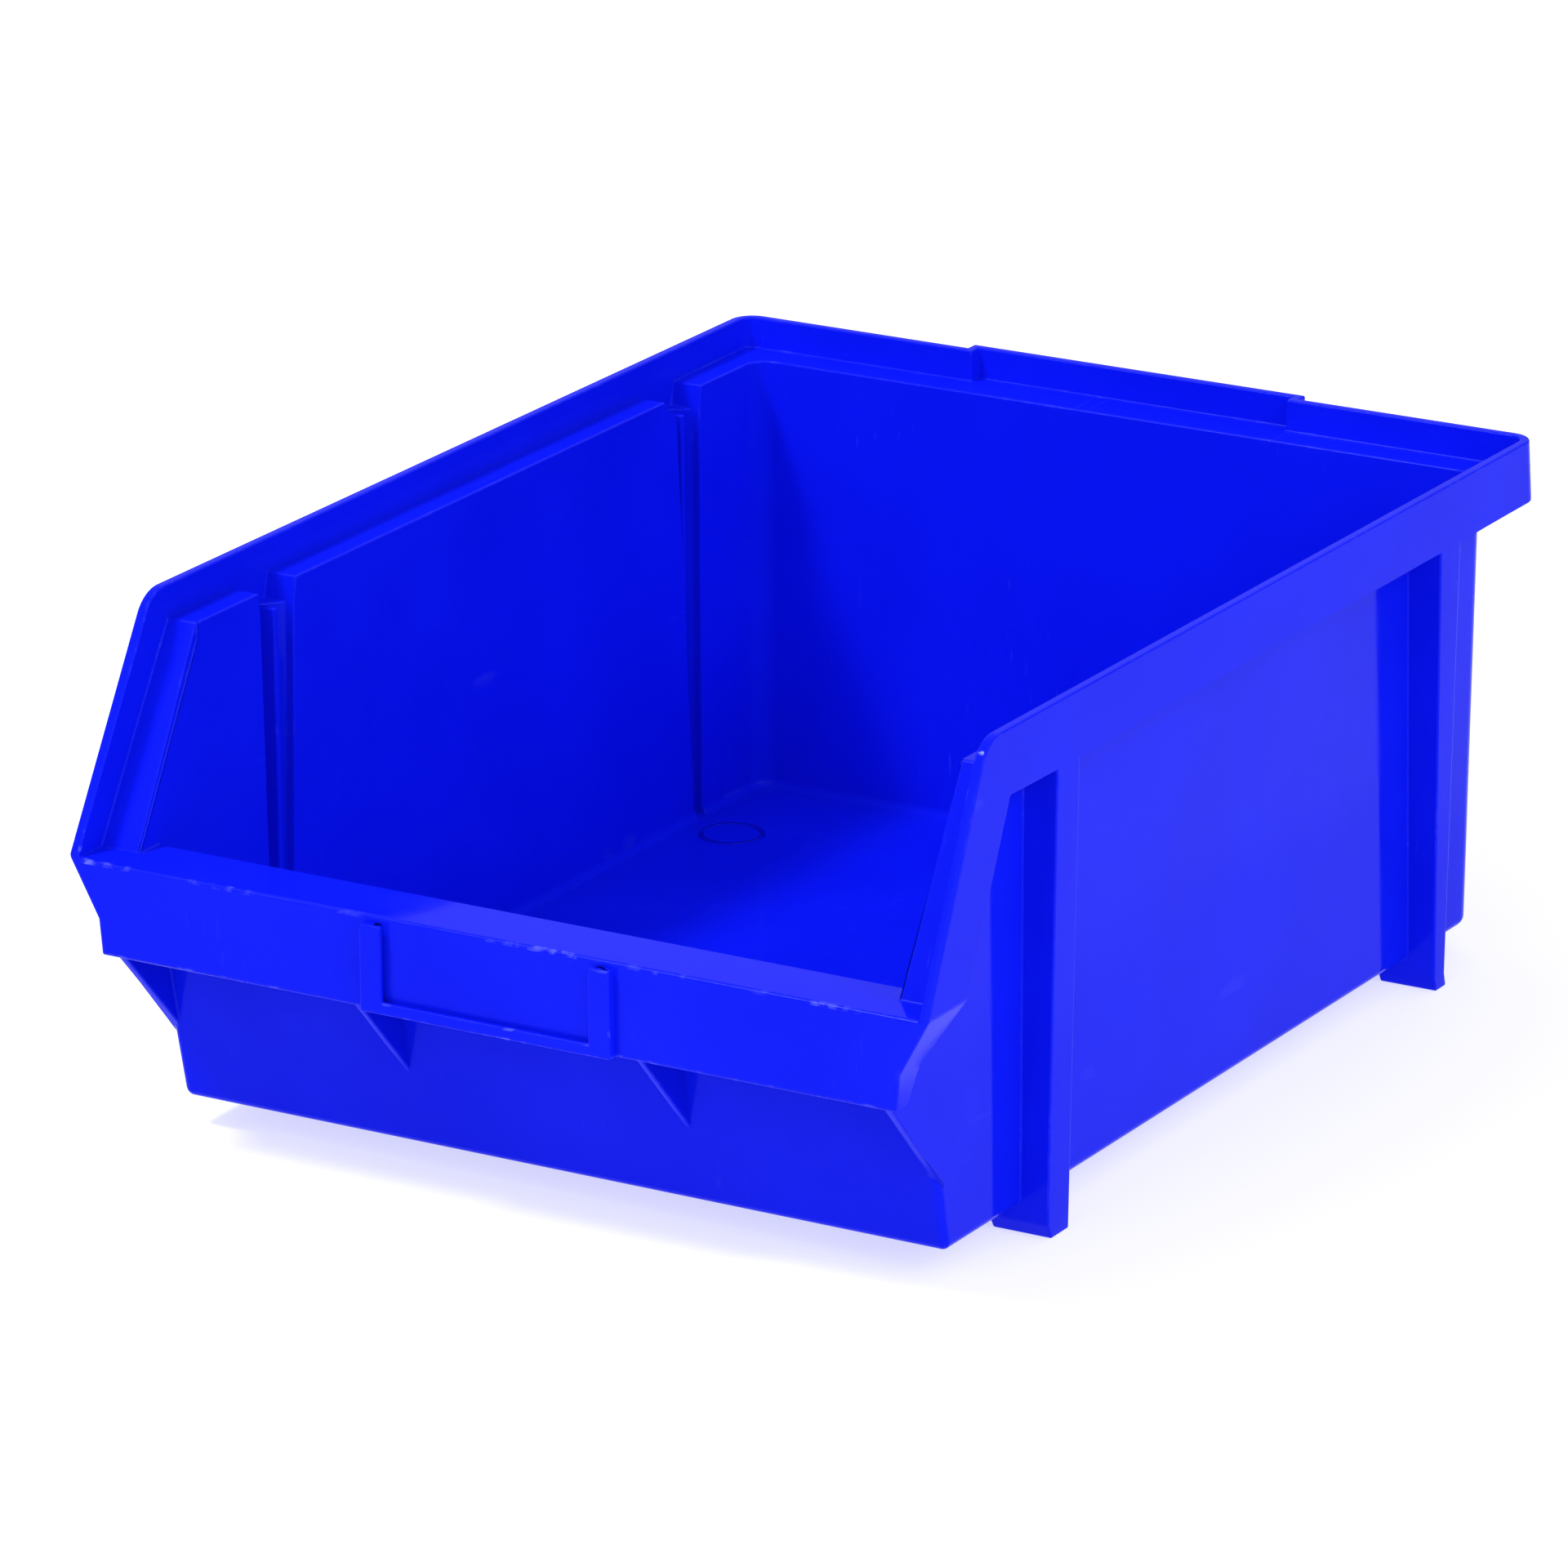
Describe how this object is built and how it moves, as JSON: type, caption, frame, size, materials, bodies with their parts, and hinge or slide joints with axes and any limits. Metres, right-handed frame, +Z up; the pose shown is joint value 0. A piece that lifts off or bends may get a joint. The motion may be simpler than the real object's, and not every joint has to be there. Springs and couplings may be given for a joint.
{
  "type": "stackable storage bin",
  "caption": "Open-fronted plastic stacking bin with a low front lip, label holder, side legs, stacking ledge and rear hanging lip.",
  "frame": {"origin": "centre of the bin's footprint, at the height its feet stand on", "axes": "+Z up; the open front with the label holder faces -Y and the hanging lip is at +Y; X across the bin"},
  "size_m": [0.3, 0.403, 0.17],
  "materials": {
    "blue_plastic": "satin moulded polypropylene"
  },
  "bodies": {
    "root": {"back_wall": "blue_plastic", "floor": "blue_plastic", "front_lip_face": "blue_plastic", "front_lip_top": "blue_plastic", "hanging_lip": "blue_plastic", "label_holder_base": "blue_plastic", "ledge_back": "blue_plastic", "left_back_rim": "blue_plastic", "left_front_leg": "blue_plastic", "left_front_lip_end": "blue_plastic", "left_front_slot_rib": "blue_plastic", "left_label_holder_upright": "blue_plastic", "left_ledge_front": "blue_plastic", "left_ledge_middle": "blue_plastic", "left_ledge_rear": "blue_plastic", "left_middle_gusset": "blue_plastic", "left_rear_leg": "blue_plastic", "left_rear_slot_rib": "blue_plastic", "left_side_panel_front": "blue_plastic", "left_side_panel_middle": "blue_plastic", "left_side_panel_rear": "blue_plastic", "left_side_rim": "blue_plastic", "left_sloped_rim": "blue_plastic", "left_sloped_web": "blue_plastic", "lower_front_wall": "blue_plastic", "right_back_rim": "blue_plastic", "right_front_leg": "blue_plastic", "right_front_lip_end": "blue_plastic", "right_front_slot_rib": "blue_plastic", "right_label_holder_upright": "blue_plastic", "right_ledge_front": "blue_plastic", "right_ledge_middle": "blue_plastic", "right_ledge_rear": "blue_plastic", "right_middle_gusset": "blue_plastic", "right_rear_leg": "blue_plastic", "right_rear_slot_rib": "blue_plastic", "right_side_panel_front": "blue_plastic", "right_side_panel_middle": "blue_plastic", "right_side_panel_rear": "blue_plastic", "right_side_rim": "blue_plastic", "right_sloped_rim": "blue_plastic", "right_sloped_web": "blue_plastic"}
  },
  "joints": []
}
